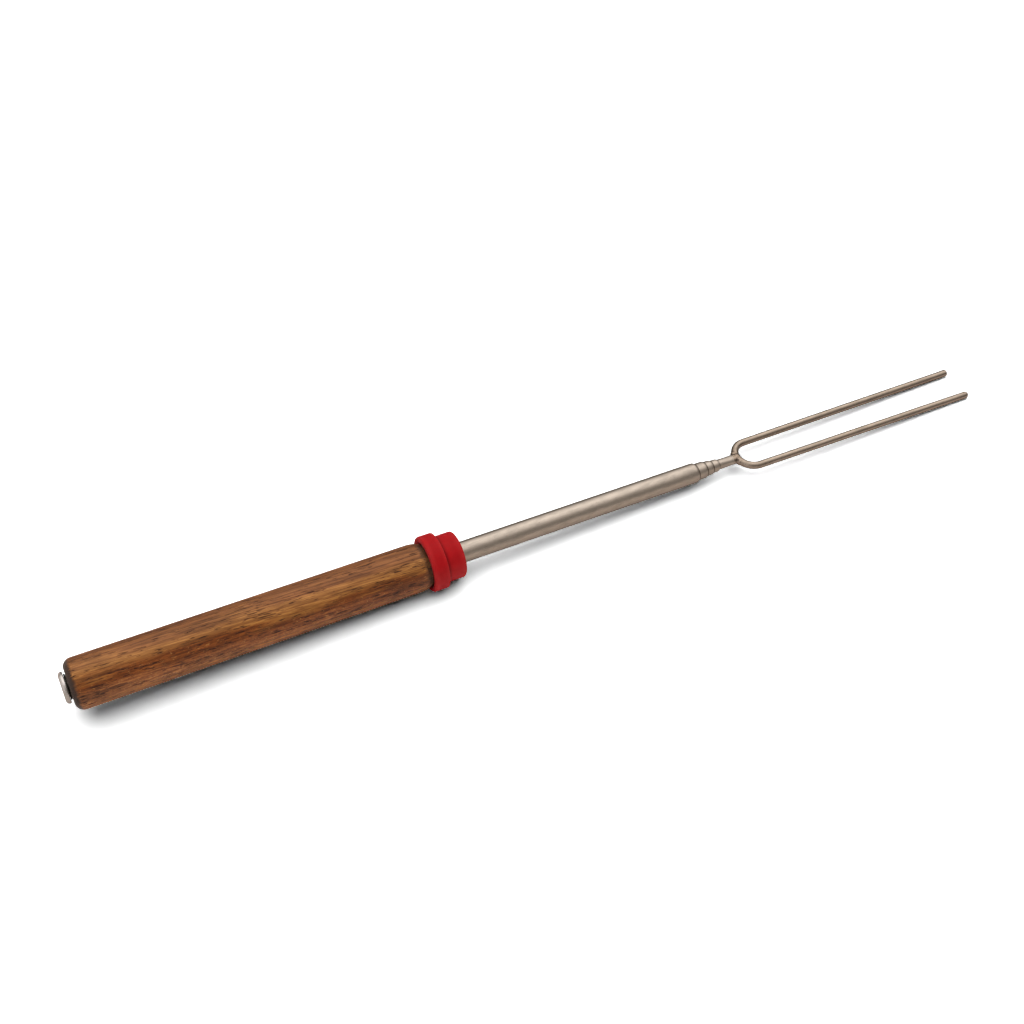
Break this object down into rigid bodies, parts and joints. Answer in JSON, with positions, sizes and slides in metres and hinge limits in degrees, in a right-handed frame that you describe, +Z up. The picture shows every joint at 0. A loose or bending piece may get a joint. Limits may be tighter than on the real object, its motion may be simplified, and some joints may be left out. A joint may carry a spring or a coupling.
{
  "type": "marshmallow roasting fork",
  "caption": "Telescoping campfire roasting fork: round wooden handle, thumb wheel that spins the shaft, nested sliding tubes and a two-tine wire fork.",
  "frame": {"origin": "centre of the end button's flat rear face, on the shaft's axis", "axes": "+X along the shaft from the end button towards the tine tips; both tines lie in the XY plane; +Z up, square to the plane of the fork"},
  "size_m": [0.3264, 0.0184, 0.0184],
  "materials": {
    "wood": "lacquered reddish brown, semi-gloss, with dark pores along the grain",
    "red_plastic": "moulded, satin",
    "satin_steel": "drawn stainless tube, satin",
    "fork_steel": "drawn stainless wire, smooth, slightly bronze tint",
    "button_steel": "turned, satin",
    "nylon": "moulded, black",
    "spring_brass": "sprung strip, satin"
  },
  "bodies": {
    "handle": {"handle_grip": "wood", "front_bushing": "nylon", "rear_bushing": "nylon"},
    "spindle": {"main_tube": "satin_steel", "thumb_wheel": "red_plastic", "end_button": "button_steel", "front_washer": "nylon", "rear_washer": "satin_steel"},
    "stage_1": {"stage_1_tube": "satin_steel", "stage_1_spring_upper": "spring_brass", "stage_1_spring_lower": "spring_brass"},
    "stage_2": {"stage_2_tube": "satin_steel", "stage_2_spring_upper": "spring_brass", "stage_2_spring_lower": "spring_brass"},
    "stage_3": {"stage_3_tube": "satin_steel", "stage_3_spring_upper": "spring_brass", "stage_3_spring_lower": "spring_brass"},
    "stage_4": {"stage_4_tube": "satin_steel", "stage_4_spring_upper": "spring_brass", "stage_4_spring_lower": "spring_brass", "fork_wire": "fork_steel", "fork_weld": "fork_steel"}
  },
  "joints": [
    {"name": "wheel_spin", "type": "hinge", "parent": "handle", "child": "spindle", "pos_m": [0.06, 0, 0], "axis": [1, 0, 0], "continuous": true},
    {"name": "stage_1_slide", "type": "slide", "parent": "spindle", "child": "stage_1", "axis": [1, 0, 0], "range_m": [0, 0.192]},
    {"name": "stage_2_slide", "type": "slide", "parent": "stage_1", "child": "stage_2", "axis": [1, 0, 0], "range_m": [0, 0.184]},
    {"name": "stage_3_slide", "type": "slide", "parent": "stage_2", "child": "stage_3", "axis": [1, 0, 0], "range_m": [0, 0.175]},
    {"name": "stage_4_slide", "type": "slide", "parent": "stage_3", "child": "stage_4", "axis": [1, 0, 0], "range_m": [0, 0.167]}
  ]
}
